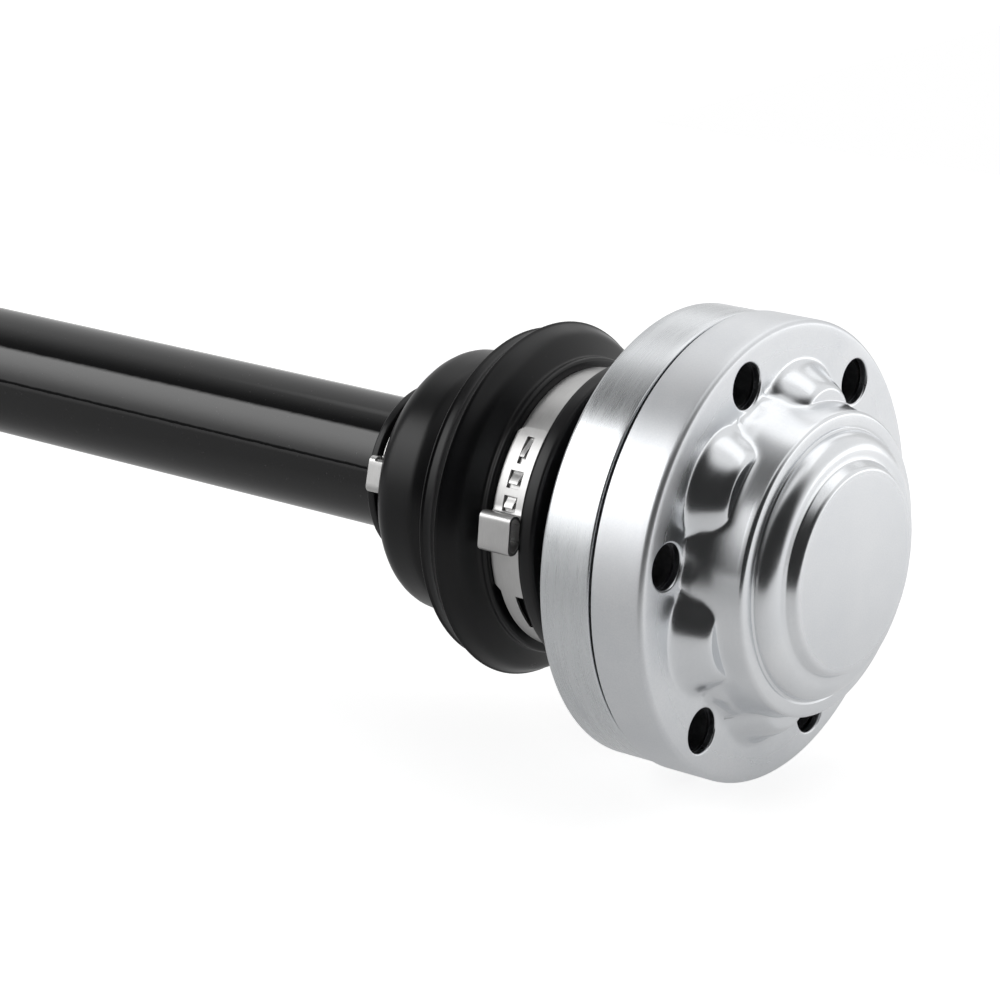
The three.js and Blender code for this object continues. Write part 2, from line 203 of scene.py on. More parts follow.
def slab(top, bottom, is_open=lambda i, j: False, wrapped=False):
    """A plate between two equal grids of points, without the cells that is_open(row, column) names."""
    mesh = bmesh.new()
    sides = [[[mesh.verts.new(point) for point in row] for row in grid] for grid in (top, bottom)]
    rows = len(top) if wrapped else len(top) - 1
    columns = len(top[0]) - 1

    def kept(i, j):
        inside = 0 <= j < columns and (wrapped or 0 <= i < rows)
        return inside and not is_open(i % rows, j)

    for i in range(rows):
        for j in range(columns):
            if not kept(i, j):
                continue
            cell = [(i, j), (i, j + 1), ((i + 1) % len(top), j + 1), ((i + 1) % len(top), j)]
            upper, lower = ([side[a][b] for a, b in cell] for side in sides)
            mesh.faces.new(upper)
            mesh.faces.new(reversed(lower))
            for k, (di, dj) in enumerate(((-1, 0), (0, 1), (1, 0), (0, -1))):
                if not kept(i + di, j + dj):
                    a, b = k, (k + 1) % 4
                    mesh.faces.new((upper[b], upper[a], lower[a], lower[b]))
    for vert in [vert for vert in mesh.verts if not vert.link_faces]:
        mesh.verts.remove(vert)
    return mesh


def softened(target, width):
    """Rounds the sharp edges of an object by a width in millimetres."""
    modifier = target.modifiers.new("soft edges", "BEVEL")
    modifier.width = width * MM
    modifier.segments = 2
    modifier.limit_method = "ANGLE"
    modifier.angle_limit = math.radians(BEVEL_DEGREES)
    modifier.harden_normals = True
    settle(target)
    return target


def cut(target, cutter):
    """Takes the cutter's mesh out of the target's mesh, and removes the cutter."""
    modifier = target.modifiers.new("cut", "BOOLEAN")
    modifier.operation = "DIFFERENCE"
    modifier.solver = "EXACT"
    modifier.object = cutter
    settle(target)
    bpy.data.objects.remove(cutter)


def settle(target):
    """Applies the modifiers of an object to its mesh."""
    bpy.context.view_layer.update()
    graph = bpy.context.evaluated_depsgraph_get()
    mesh = bpy.data.meshes.new_from_object(target.evaluated_get(graph))
    target.modifiers.clear()
    target.data = mesh


# ---- materials ---------------------------------------------------------------
class Nodes:
    """A few short words for building a procedural material."""

    def __init__(self, name):
        self.material = bpy.data.materials.new(name)
        self.material.use_nodes = True
        self.tree = self.material.node_tree
        self.shader = self.tree.nodes["Principled BSDF"]
        self.place = self.tree.nodes.new("ShaderNodeTexCoord").outputs["Object"]

    def set(self, **values):
        for name, value in values.items():
            self.shader.inputs[name.replace("_", " ")].default_value = value

    def link(self, source, socket):
        self.tree.links.new(source, socket)

    def math(self, operation, a, b=0.5, c=0.5):
        node = self.tree.nodes.new("ShaderNodeMath")
        node.operation = operation
        for socket, value in zip(node.inputs, (a, b, c)):
            if isinstance(value, (int, float)):
                socket.default_value = value
            else:
                self.link(value, socket)
        return node.outputs[0]

    def stretched(self, x=1.0, y=1.0, z=1.0):
        """Object coordinates, scaled."""
        node = self.tree.nodes.new("ShaderNodeMapping")
        node.inputs["Scale"].default_value = (x, y, z)
        self.link(self.place, node.inputs["Vector"])
        return node.outputs[0]

    def split(self):
        node = self.tree.nodes.new("ShaderNodeSeparateXYZ")
        self.link(self.place, node.inputs[0])
        return node.outputs

    def radius(self):
        """Distance from the axle's axis, in metres."""
        x, y, z = self.split()
        return self.math("SQRT", self.math("ADD", self.math("MULTIPLY", y, y), self.math("MULTIPLY", z, z)))

    def round_about(self, along, out, turns):
        """Coordinates for marks that run round the axle: along x, out from the axis, and by angle."""
        x, y, z = self.split()
        radius = self.radius()
        node = self.tree.nodes.new("ShaderNodeCombineXYZ")
        self.link(self.math("ADD", self.math("MULTIPLY", x, along), self.math("MULTIPLY", radius, out)),
                  node.inputs[0])
        self.link(self.math("MULTIPLY", self.math("DIVIDE", y, radius), turns), node.inputs[1])
        self.link(self.math("MULTIPLY", self.math("DIVIDE", z, radius), turns), node.inputs[2])
        return node.outputs[0]

    def noise(self, vector, scale=1.0, detail=4.0, roughness=0.55, distortion=0.0):
        node = self.tree.nodes.new("ShaderNodeTexNoise")
        self.link(vector, node.inputs["Vector"])
        node.inputs["Scale"].default_value = scale
        node.inputs["Detail"].default_value = detail
        node.inputs["Roughness"].default_value = roughness
        node.inputs["Distortion"].default_value = distortion
        return node.outputs["Fac"]

    def ranged(self, value, low, high, to_low=0.0, to_high=1.0):
        node = self.tree.nodes.new("ShaderNodeMapRange")
        self.link(value, node.inputs["Value"])
        for name, number in (("From Min", low), ("From Max", high), ("To Min", to_low), ("To Max", to_high)):
            node.inputs[name].default_value = number
        return node.outputs[0]

    def colour(self, factor, *stops):
        """A colour ramp through (position, colour) stops."""
        node = self.tree.nodes.new("ShaderNodeValToRGB")
        ramp = node.color_ramp
        while len(ramp.elements) < len(stops):
            ramp.elements.new(0.5)
        for element, (position, shade) in zip(ramp.elements, stops):
            element.position = position
            element.color = (*shade, 1) if isinstance(shade, tuple) else (shade, shade, shade, 1)
        self.link(factor, node.inputs[0])
        self.link(node.outputs[0], self.shader.inputs["Base Color"])

    def rough(self, value):
        self.link(value, self.shader.inputs["Roughness"])

    def bump(self, *layers):
        """Bump from (height, distance in mm, strength) layers."""
        normal = None
        for height, distance, strength in layers:
            node = self.tree.nodes.new("ShaderNodeBump")
            node.inputs["Distance"].default_value = distance * MM
            node.inputs["Strength"].default_value = strength
            self.link(height, node.inputs["Height"])
            if normal:
                self.link(normal, node.inputs["Normal"])
            normal = node.outputs[0]
        self.link(normal, self.shader.inputs["Normal"])


def polished_zinc():
    """Bright zinc on deep-drawn sheet: drawn walls shine, the flat disc and the flange are satin."""
    n = Nodes("polished_zinc")
    n.set(Metallic=1.0, IOR=2.0)
    radius = n.radius()
    blotch = n.noise(n.place, 60, 3)
    grain = n.noise(n.place, 2600, 3)
    draw = n.noise(n.round_about(2200, 2200, 9), 1, 5, 0.6)
    disc = n.ranged(radius, 0.0222, 0.0236, 1, 0)
    skirt = n.ranged(radius, 0.0545, 0.0557, 0, 1)
    lines = n.noise(n.round_about(5200, 0, 5), 1, 4, 0.6)
    flange = n.ranged(radius, 0.047, 0.051, 0, 1)
    satin = n.math("MULTIPLY_ADD", flange, 0.07, n.math("MULTIPLY", disc, 0.17))
    satin = n.math("MULTIPLY_ADD", n.math("MULTIPLY", skirt, n.math("ADD", lines, 0.3)), 0.17, satin)
    drawn = n.math("MULTIPLY_ADD", draw, 0.07, n.math("MULTIPLY_ADD", blotch, 0.08, 0.15))
    n.rough(n.math("ADD", drawn, satin))
    n.colour(n.math("MULTIPLY_ADD", blotch, 0.5, n.math("MULTIPLY", grain, 0.5)),
             (0.3, (0.70, 0.72, 0.745)), (0.7, (0.80, 0.81, 0.825)))
    n.bump((draw, 0.05, 0.06), (grain, 0.02, 0.10), (n.noise(n.place, 140, 2), 0.2, 0.05))
    return n.material


def brushed_zinc():
    """Zinc over a turned and brushed pressing: streaks run round the ring."""
    n = Nodes("brushed_zinc")
    n.set(Metallic=1.0, IOR=2.0)
    streak = n.noise(n.round_about(5200, 5200, 6), 1, 6, 0.65)
    broad = n.noise(n.round_about(420, 420, 3), 1, 3)
    grain = n.noise(n.place, 1800, 3)
    n.rough(n.math("MULTIPLY_ADD", streak, 0.20, n.math("MULTIPLY_ADD", broad, 0.12, 0.12)))
    n.colour(n.math("MULTIPLY_ADD", streak, 0.5, n.math("MULTIPLY", broad, 0.5)),
             (0.3, (0.64, 0.66, 0.68)), (0.7, (0.77, 0.785, 0.80)))
    n.bump((streak, 0.05, 0.16), (grain, 0.02, 0.12))
    return n.material


def stainless():
    """Rolled stainless strip with fine lines along it and a few dull smears."""
    n = Nodes("stainless_strip")
    n.set(Metallic=1.0, IOR=2.2)
    roll = n.noise(n.round_about(6000, 0, 8), 1, 4, 0.6)
    smear = n.noise(n.place, 130, 3)
    n.rough(n.math("MULTIPLY_ADD", roll, 0.14, n.math("MULTIPLY_ADD", smear, 0.14, 0.24)))
    n.colour(n.math("MULTIPLY_ADD", roll, 0.4, n.math("MULTIPLY", smear, 0.6)),
             (0.3, (0.52, 0.518, 0.514)), (0.7, (0.66, 0.656, 0.65)))
    n.bump((roll, 0.04, 0.10))
    return n.material


def moulded_rubber():
    """Satin moulded elastomer: fine skin, faint dusty bloom and flow marks round the boot."""
    n = Nodes("moulded_rubber")
    n.set(Metallic=0.0, IOR=1.5, Specular_IOR_Level=0.30)
    skin = n.noise(n.place, 3200, 3)
    bloom = n.noise(n.place, 45, 4, 0.6, 0.4)
    flow = n.noise(n.round_about(260, 120, 2.2), 1, 4)
    specks = n.ranged(n.noise(n.place, 900, 2), 0.70, 0.76)
    n.rough(n.math("MULTIPLY_ADD", bloom, 0.14, n.math("MULTIPLY_ADD", flow, 0.06, 0.20)))
    n.colour(n.math("MULTIPLY_ADD", specks, 0.35, n.math("MULTIPLY", bloom, 0.8)),
             (0.25, (0.0040, 0.0040, 0.0046)), (0.65, (0.0068, 0.0068, 0.0078)), (1.0, (0.022, 0.022, 0.023)))
    n.bump((skin, 0.03, 0.22), (flow, 0.3, 0.05))
    return n.material


def gloss_paint():
    """Gloss black paint on drawn tube, with orange peel and a little dust."""
    n = Nodes("gloss_black_paint")
    n.set(Metallic=0.0, IOR=1.5, Specular_IOR_Level=0.0, Coat_Weight=1.0, Coat_Roughness=0.03, Coat_IOR=1.52)
    peel = n.noise(n.stretched(0.6, 1, 1), 420, 2, 0.4)
    fine = n.noise(n.place, 2300, 2)
    dust = n.ranged(n.noise(n.place, 1500, 1), 0.73, 0.78)
    n.rough(n.math("MULTIPLY_ADD", dust, 0.3, n.math("MULTIPLY_ADD", peel, 0.05, 0.08)))
    n.colour(n.math("MULTIPLY_ADD", dust, 0.8, n.math("MULTIPLY", peel, 0.2)),
             (0.0, (0.0028, 0.0028, 0.0032)), (0.3, (0.0042, 0.0042, 0.0048)), (1.0, (0.06, 0.06, 0.062)))
    n.bump((peel, 0.10, 0.16), (fine, 0.01, 0.10))
    n.link(n.shader.inputs["Normal"].links[0].from_socket, n.shader.inputs["Coat Normal"])
    return n.material


def forged_steel():
    """Phosphated forging: dark, grainy scale with paler worn places."""
    n = Nodes("forged_steel")
    n.set(Metallic=1.0, IOR=2.3)
    scale = n.noise(n.place, 900, 5, 0.65)
    patch = n.noise(n.place, 70, 4, 0.6, 0.5)
    n.rough(n.math("MULTIPLY_ADD", scale, 0.20, n.math("MULTIPLY_ADD", patch, 0.20, 0.30)))
    n.colour(n.math("MULTIPLY_ADD", scale, 0.5, n.math("MULTIPLY", patch, 0.5)),
             (0.3, (0.115, 0.117, 0.122)), (0.55, (0.19, 0.192, 0.198)), (0.8, (0.30, 0.30, 0.30)))
    n.bump((scale, 0.08, 0.35), (patch, 0.4, 0.06))
    return n.material


def turned_steel():
    """Machined and ground steel with fine turning marks under a film of grease."""
    n = Nodes("turned_steel")
    n.set(Metallic=1.0, IOR=2.5, Coat_Weight=0.25, Coat_Roughness=0.25)
    marks = n.noise(n.round_about(7000, 7000, 3), 1, 4, 0.6)
    film = n.noise(n.place, 160, 4)
    n.rough(n.math("MULTIPLY_ADD", marks, 0.16, n.math("MULTIPLY_ADD", film, 0.12, 0.13)))
    n.colour(n.math("MULTIPLY_ADD", marks, 0.4, n.math("MULTIPLY", film, 0.6)),
             (0.3, (0.47, 0.475, 0.48)), (0.7, (0.62, 0.62, 0.615)))
    n.bump((marks, 0.05, 0.18))
    return n.material


ZINC = polished_zinc()
BRUSHED = brushed_zinc()
BAND = stainless()
RUBBER = moulded_rubber()
PAINT = gloss_paint()
FORGED = forged_steel()
TURNED = turned_steel()


# ---- the two pressings of the flange -----------------------------------------
WEB_R = 53.2                    # outer edge of the flat web
FOOT_R = 36.9                   # where the relief meets the wall inside it
WALL_R = 38.0                   # foot of that wall, where it leaves the flat web
WEB_RADII = [36.9 + 0.14 * i for i in range(13)] + [38.8 + 0.3 * i for i in range(12)] + [
    42.4 + 0.6 * i for i in range(19)]
WEDGE = 1.25                    # angle of one segment, so that holes and pillows fall on segments
PILLOW_AT, PILLOW_R = 33, 14    # a pillow's centre, and its reach outwards
PILLOW_LENGTH = 1.17            # how much longer it is round the flange
PILLOW_HEIGHT, PILLOW_FLANK = 7.8, 6.4
LAND_R = 6.1                    # flat land kept round a bolt hole
STEP_HEIGHT, STEP_R, STEP_WIDTH = 2.4, 41.4, 2.4
WALL_RISE, WALL_BLEND = 6, 0.8
JOIN = 1.8                      # height over which a pillow and the wall run together
FLANGE_DEPTH = 29.4             # from the cap's web to the adapter's web
CAP_SHEET, ADAPTER_SHEET = 2.0, 1.8
HOLE_ROW = 17                   # web row where the layout round the holes starts
LIP = ((0.45, 0), (0.2, 0.07), (0.06, 0.22), (0, 0.5))     # (added radius, depth) of a hole's edge
LIP_BACK = (0, 0.02, 0.08, 0.3)
HOLE_SPAN = 9                   # segments on each side of a hole that are laid out round it


def relief(radius, degrees):
    """Height of the relief over the flat web: a step, the foot of the wall, and a pillow over each track."""
    off = math.radians((degrees - TRACK_PHASE + SECTOR / 2) % SECTOR - SECTOR / 2)
    spread = math.hypot(radius * math.cos(off) - PILLOW_AT, radius * math.sin(off) / PILLOW_LENGTH)
    pillow = PILLOW_HEIGHT * smooth((PILLOW_R - spread) / PILLOW_FLANK)
    beyond = math.radians((degrees - BOLT_PHASE + SECTOR / 2) % SECTOR - SECTOR / 2)
    from_hole = math.hypot(radius * math.cos(beyond) - BOLT_CIRCLE_R, radius * math.sin(beyond))
    land = smooth((from_hole - LAND_R) / 2)
    step = STEP_HEIGHT * land * smooth((STEP_R - radius) / STEP_WIDTH)
    base = step + WALL_RISE * math.log1p(math.exp((WALL_R - radius) / WALL_BLEND))
    soft = max(min(JOIN, 0.6 * (pillow + base)), 1e-6)
    overlap = max(soft - abs(pillow - base), 0) / soft
    return max(pillow, base) + overlap ** 2 * soft / 4


def pressing(before, web_x, after, face, thickness):
    """A pressed sheet: rows before the web, the web with its relief and holes, and rows after it.

    Rows are (x, r) pairs from the axis or neck outwards, and face is +1 or -1, the way the web faces.
    """
    count = round(360 / WEDGE)
    angle_of = [BOLT_PHASE + i * WEDGE for i in range(count)]
    block = (HOLE_ROW, len(WEB_RADII) - 1)
    mesh = bmesh.new()

    def web_point(radius, degrees):
        return polar(web_x + face * relief(radius, degrees), radius, degrees)

    def row(x, r):
        if r < 1e-6:
            return [mesh.verts.new(Vector((x, 0, 0)) * MM)]
        return [mesh.verts.new(polar(x, r, angle)) for angle in angle_of]

    def in_hole(column):
        near = (column + HOLE_SPAN) % (SECTOR / WEDGE)
        return near < 2 * HOLE_SPAN

    rows = [row(x, r) for x, r in before]
    first_web = len(rows)
    for i, radius in enumerate(WEB_RADII):
        ring = []
        for column, angle in enumerate(angle_of):
            inside = block[0] < i < block[1] and in_hole(column) and in_hole(column - 1)
            ring.append(None if inside else mesh.verts.new(web_point(radius, angle)))
        rows.append(ring)
    rows += [row(x, r) for x, r in after]
    for i, (inner, outer) in enumerate(zip(rows, rows[1:])):
        for column in range(count):
            if block[0] <= i - first_web < block[1] and in_hole(column):
                continue
            corners = []
            for vert in (inner[column % len(inner)], inner[(column + 1) % len(inner)],
                         outer[(column + 1) % count], outer[column]):
                if vert not in corners:
                    corners.append(vert)
            mesh.faces.new(corners)

    lips = []
    for hole in range(BOLTS):
        middle = round(hole * SECTOR / WEDGE)
        columns = [(middle + k) % count for k in range(-HOLE_SPAN, HOLE_SPAN + 1)]
        low, high = (rows[first_web + i] for i in block)
        rim = [low[c] for c in columns]
        rim += [rows[first_web + i][columns[-1]] for i in range(block[0] + 1, block[1])]
        rim += [high[c] for c in reversed(columns)]
        rim += [rows[first_web + i][columns[0]] for i in range(block[1] - 1, block[0], -1)]
        centre = polar(web_x, BOLT_CIRCLE_R, angle_of[middle])
        ring = rim
        for share in (0.4, 0.72, 0.92):
            ring = hole_ring(mesh, ring, rim, centre, share, BOLT_HOLE_R + 0.5, web_point)
        for radius, depth in LIP:
            ring = hole_ring(mesh, ring, rim, centre, 1, BOLT_HOLE_R + radius, None, -face * depth)
            lips.append(ring)

    bmesh.ops.recalc_face_normals(mesh, faces=mesh.faces)
    mesh.normal_update()
    towards = face if sum(f.normal.x for f in mesh.faces) > 0 else -face
    flat = {vert for ring in lips for vert in ring}
    other = {}
    for vert in list(mesh.verts):
        shift = Vector((face, 0, 0)) if vert in flat else vert.normal * towards
        other[vert] = mesh.verts.new(vert.co - shift * thickness * MM)
    for k, ring in enumerate(lips):
        drop = LIP_BACK[k % len(LIP_BACK)]
        for vert in ring:
            other[vert].co.x = (web_x - face * (thickness - drop)) * MM
    for made in list(mesh.faces):
        mesh.faces.new([other[vert] for vert in reversed(made.verts)])
    for edge in [edge for edge in mesh.edges if edge.is_boundary and edge.verts[0] in other]:
        a, b = edge.verts
        mesh.faces.new((a, b, other[b], other[a]))
    return mesh


def hole_ring(mesh, ring, rim, centre, share, radius, web_point, shift=0.0):
    """The next ring of points from a block's rim towards the round edge of its hole."""
    made = []
    for corner in rim:
        away = corner.co - centre
        away.x = 0
        target = centre + away.normalized() * radius * MM
        spot = corner.co.lerp(target, share)
        if web_point:
            spot = web_point(math.hypot(spot.y, spot.z) / MM, math.degrees(math.atan2(spot.z, spot.y)))
        else:
            spot.x = centre.x + shift * MM
        made.append(mesh.verts.new(spot))
    for i in range(len(rim)):
        j = (i + 1) % len(rim)
        mesh.faces.new((ring[i], ring[j], made[j], made[i]))
    return made


def end_cap():
    dome = rounded([(21.3, 0, 0), (21.3, 24.6, 1.4), (18.8, 25.9, 0.7), (18.6, 27.3, 0)])
    dome += [(14.4 + 4.2 * math.sin(math.radians(a)), 27.4 + 4.9 * math.cos(math.radians(a)))
             for a in range(82, 6, -7)]
    dome += rounded([
        (14.5, 32.34, 0), (14.1, 32.8, 0.3), (14.3, 33.4, 0.5), (14.1, 36.6, 1.5),
        (relief(FOOT_R, BOLT_PHASE) + 0.3, FOOT_R - 0.05, 0),
    ])
    skirt = divided(rounded([
        (0, WEB_R + 0.1, 0), (0, FLANGE_R, 3.5), (-14.1, FLANGE_R, 0.35), (-14.1, FLANGE_R - 1, 0),
    ]), 1.8)
    place = [(FACE + x, r) for x, r in dome]
    edge = [(FACE + x, r) for x, r in skirt]
    mesh = pressing(place, FACE, edge, 1, CAP_SHEET)
    return piece("end_cap_shell", mesh, ZINC, "inner_flange", ["inner_joint_end_cap"])


def boot_adapter():
    rim = FLANGE_R - 0.5
    neck = divided(rounded([
        (-60, 31.4, 0), (-45.4, 31.4, 4), (-42.6, 35.4, 2.0),
        (-29.8 - relief(FOOT_R, BOLT_PHASE), FOOT_R - 0.05, 0),
    ]), 1.8)
    skirt = divided(rounded([
        (-FLANGE_DEPTH, WEB_R + 0.1, 0), (-FLANGE_DEPTH, rim, 1.4), (-15.2, rim, 0.7), (-15.2, rim - 1.2, 0),
    ]), 1.8)
    place = [(FACE + x, r) for x, r in neck]
    edge = [(FACE + x, r) for x, r in skirt]
    mesh = pressing(place, FACE - FLANGE_DEPTH, edge, -1, ADAPTER_SHEET)
    return piece("boot_adapter_shell", mesh, BRUSHED, "inner_flange",
                 ["inner_joint_boot_adapter"])


end_cap()
boot_adapter()


# ---- shaft -------------------------------------------------------------------
def shaft_tube():
    low, high = (corner.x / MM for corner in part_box("shaft_tube"))
    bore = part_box("shaft_tube")[1].y / MM - 4
    outline = rounded([
        (low, bore, 0), (low, TUBE_R, 0.6), (high, TUBE_R, 0.6), (high, bore, 0.4), (low, bore, 0),
    ])[:-1]
    mesh = surface(divided(outline, 9), closed=True)
    return piece("painted_tube", mesh, PAINT, "shaft", ["shaft_tube"])


shaft_tube()


# ---- boots -------------------------------------------------------------------
def boot_section(name, outside, inside, origin):
    """A closed ring of rubber between its outer and inner outlines."""
    outline = divided(outside, 1.6) + divided(list(reversed(inside)), 4)
    mesh = surface([(origin + x, r) for x, r in outline], segments=160, closed=True)
    return piece(name, mesh, RUBBER)


def part_of(outline, start, end):
    """The stretch of an outline between two values of x, which falls along it."""
    points = []
    for a, b in zip(outline, outline[1:]):
        for edge in (start, end):
            if b[0] < edge <= a[0] and not any(abs(p[0] - edge) < 1e-9 for p in points):
                share = (edge - a[0]) / (b[0] - a[0])
                points.append((edge, a[1] + (b[1] - a[1]) * share))
        if end < b[0] < start:
            points.append(b)
    return points


def inner_boot():
    crest, groove = -72.0, -80.6
    outside = rounded([
        (-44.4, 36.4, 0), (-44.4, 38.5, 1.4), (-49.2, 38.5, 1.8), (-49.6, 34.1, 0.5), (-59.1, 34.1, 0.4),
        (-59.3, 37.3, 0.9), (-61.4, 37.0, 1.0), (-64.8, 42.4, 5), (-68.7, 44.1, 3), (-69.1, 44.7, 0.25),
        (-69.8, 43.9, 0.3), (-72.6, 41.7, 3), (-75.0, 41.7, 0.6), (-75.5, 42.2, 0.25), (-76.4, 41.2, 1),
        (-79.2, 33.2, 1.6),
        (-80.8, 31.6, 0.8), (-82.6, 32.4, 0.8), (-86, 33.7, 4), (-95.6, 33.5, 6), (-99.7, 29.2, 4),
        (-99.9, 20.3, 0.8), (-106.4, 20.3, 0.4), (-106.6, 22.4, 0.6), (-109, 22.4, 0.7), (-109, 18.2, 0),
    ], step=12)
    inside = [
        (-44.4, 31.8), (-58.4, 31.8), (-62, 34.4), (-66, 39.6), (-69.5, 41.6), (-72, 40.4), (-74.4, 39.8),
        (-78.4, 30.6), (-80.6, 29.2), (-86, 31.2), (-94, 30.8), (-96.8, 27.6), (-97.8, 17.4), (-109, 17.4),
    ]
    seams = [-44.4, crest, groove, -109]
    spans = [(-60, -71.5), (-72.5, -80), (-81, -99)]
    made = []
    for i, (start, end) in enumerate(spans):
        skin = part_of(outside, seams[i], seams[i + 1])
        lining = part_of(inside, seams[i], seams[i + 1])
        part = boot_section(f"inner_boot_part_{i + 1}", skin, lining, FACE)
        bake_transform(part)
        made.append(part)
    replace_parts(made[0], "inner_boot")


def outer_boot():
    outside = rounded([
        (2.8, 44.3, 0), (2.8, 45.2, 0.4), (11.8, 45.2, 0.4), (12.1, 47.0, 0.8), (14.2, 46.9, 1),
        (21, 44.2, 4), (27.6, 41.2, 3), (32.2, 32.4, 1.6), (39.4, 38.6, 3.2), (47.2, 28.4, 1.6),
        (54.8, 33.4, 3), (62.2, 24.8, 1.5), (69.6, 28.8, 2.8), (76.6, 21.4, 1.5), (80.2, 21.8, 0.6),
        (80.8, 20.3, 0.5), (89.6, 20.3, 0.3), (90, 19.6, 0),
    ], step=12)
    inside = [
        (2.8, 44.3), (18.2, 44.3), (20.5, 41.4), (26, 38.6), (31.8, 29.8), (39.2, 35.6), (47.0, 26.0),
        (54.6, 30.4), (62.0, 22.4), (69.4, 25.8), (76.6, 17.4), (90, 17.4),
    ]
    made = boot_section("outer_boot_bellows", outside, inside, OUTER)
    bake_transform(made)
    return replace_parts(made, "outer_boot")


inner_boot()
outer_boot()


# ---- band clamps -------------------------------------------------------------
def strap(path, edges, thickness, windows=()):
    """A bent metal strap: path of (degrees, radius), edges(degrees) its two sides, and open windows.

    Windows are (from degrees, to degrees, from side, to side).
    """
    sides = sorted({side for window in windows for side in window[2:]})
    spots = [polar(0, radius, degrees) for degrees, radius in path]
    grids = ([], [])
    for i, (degrees, _) in enumerate(path):
        left, right = edges(degrees)
        along = (spots[min(i + 1, len(spots) - 1)] - spots[max(i - 1, 0)]).normalized()
        out = Vector((1, 0, 0)).cross(along).normalized() * thickness / 2 * MM
        across = [left] + [side for side in sides if left < side < right] + [right]
        across += [right] * (len(sides) + 2 - len(across))
        for grid, sign in zip(grids, (1, -1)):
            grid.append([spots[i] + out * sign + Vector((side * MM, 0, 0)) for side in across])

    def is_open(i, j):
        degrees = (path[i][0] + path[i + 1][0]) / 2
        lanes = [-99] + sides + [99]
        middle = (lanes[j] + lanes[j + 1]) / 2
        return any(a < degrees < b and low < middle < high for a, b, low, high in windows)

    return slab(*grids, is_open)


STRAP_STEP = 2.5                # degrees between two rows of a clamp's strap
DRAWN_HALF_WIDTH = 4.6          # half width of the strap that the windows are laid out for


def ear_clamp(name, body, x, inner_r, half_width, ear_at, ear):
    """A one-piece ear clamp: windowed outer end, raised ear, stepped tongue, and the band below.

    name is also the CAD node's name, and ear is the raised ear's (length, height).
    """
    thickness = 0.7
    length, height = ear
    lower, upper = inner_r + 0.4, inner_r + 1.2

    def on_ear(along, out):
        return ear_at + math.degrees(math.atan2(along, upper + out)), math.hypot(along, upper + out)

    foot = length * 0.2
    loop = divided(rounded([
        (-foot - 2.4, 0, 0), (-foot, 0, 0.7), (-length / 2, height * 0.5, 1.6), (-length / 2, height, 1.7),
        (length / 2, height, 1.7), (length / 2, height * 0.5, 1.6), (foot, 0, 0.7), (foot + 2.4, 0, 0),
    ]), 0.8)
    ear_path = [on_ear(*point) for point in loop]
    start, step, end = ear_at - 42, ear_at + 24, ear_at + 366
    holes = [(-38, -26.5, -1.0, 1.0), (-23.5, -16.5, -1.9, 1.9), (-13.5, -7.4, -1.9, 1.9)]
    windows = [(ear_at + a, ear_at + b,
                low * half_width / DRAWN_HALF_WIDTH, high * half_width / DRAWN_HALF_WIDTH)
               for a, b, low, high in holes]
    windows.append((ear_at + 28, ear_at + 46, 0.2 * half_width, 0.72 * half_width))
    marks = {start, start + STRAP_STEP, step, step + STRAP_STEP, ear_at + 80, ear_at + 84, end}
    marks |= {edge for window in windows for edge in window[:2]}
    marks |= {start + i * STRAP_STEP for i in range(int((end - start) / STRAP_STEP))}
    path = [(mark, 0) for mark in sorted(marks) if not ear_path[0][0] - 0.3 < mark < ear_path[-1][0] + 0.3]

    def radius_at(degrees):
        return upper + (lower - upper) * smooth((degrees - step - 6) / 50)

    before = [(mark, upper) for mark, _ in path if mark < ear_at]
    after = [(mark, radius_at(mark)) for mark, _ in path if mark > ear_at]
    path = before + ear_path + after

    def edges(degrees):
        chamfer = max(0, STRAP_STEP - (degrees - start)) / STRAP_STEP * 0.35 * half_width
        tongue = smooth((degrees - step) / STRAP_STEP) * (1 - smooth((degrees - ear_at - 80) / 4))
        return -half_width + chamfer + tongue * 0.3 * half_width, half_width - chamfer

    mesh = strap(path, edges, thickness, windows)
    hooks = bmesh.new()
    for a, b, low, high in windows[:3]:
        rise = [(a + (b - a) * share, lower + lift) for share, lift in
                ((0.05, 0.2), (0.3, 0.5), (0.6, 1.25), (0.78, 1.3))]
        tab = strap(rise, lambda degrees: (low * 0.72, high * 0.72), 0.55)
        hooks.from_mesh(data_of(tab, "tab"))
    for made in (mesh, hooks):
        bmesh.ops.translate(made, verts=made.verts, vec=(x * MM, 0, 0))
    band = piece(name + "_strap", mesh, BAND, body, [name])
    softened(band, 0.16)
    catch = piece(name + "_hooks", hooks, BAND, body)
    softened(catch, 0.14)


ear_clamp("inner_boot_large_clamp", "inner_flange", FACE - 54.4, 34.1, 4.6, 174, (9.0, 4.9))
ear_clamp("inner_boot_small_clamp", "shaft", FACE - 102.5, 20.3, 3.0, 167, (8.4, 4.9))
ear_clamp("outer_boot_large_clamp", "outer_stub", OUTER + 7.4, 45.2, 4.2, 10, (9.4, 4.6))
ear_clamp("outer_boot_small_clamp", "shaft", OUTER + 85.4, 20.3, 3.4, 10, (8.4, 4.4))


# ---- wheel-side joint --------------------------------------------------------
HOUSING_SEGMENTS = 216
SHOULDER = mounts["hub_shoulder"]["pos_m"][0] / MM - OUTER     # face that the bearing rests on
STUB_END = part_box("outer_joint_housing")[0].x / MM - OUTER
THREAD_PITCH, THREAD_R, THREAD_DEPTH = 1.5, 11.9, 0.9
SPLINE_START, SPLINE_END = -46.4, -98
STUB_TEETH, STUB_ROOT_R, STUB_TIP_R = 27, 13.6, 14.7
RACE_DRILL_R = 5.25


def toothed(root, tip, teeth, degrees):
    """Radius of a spline with rounded teeth."""
    wave = math.cos(math.radians(degrees * teeth))
    return root + (tip - root) * smooth(0.5 + wave * 1.1)


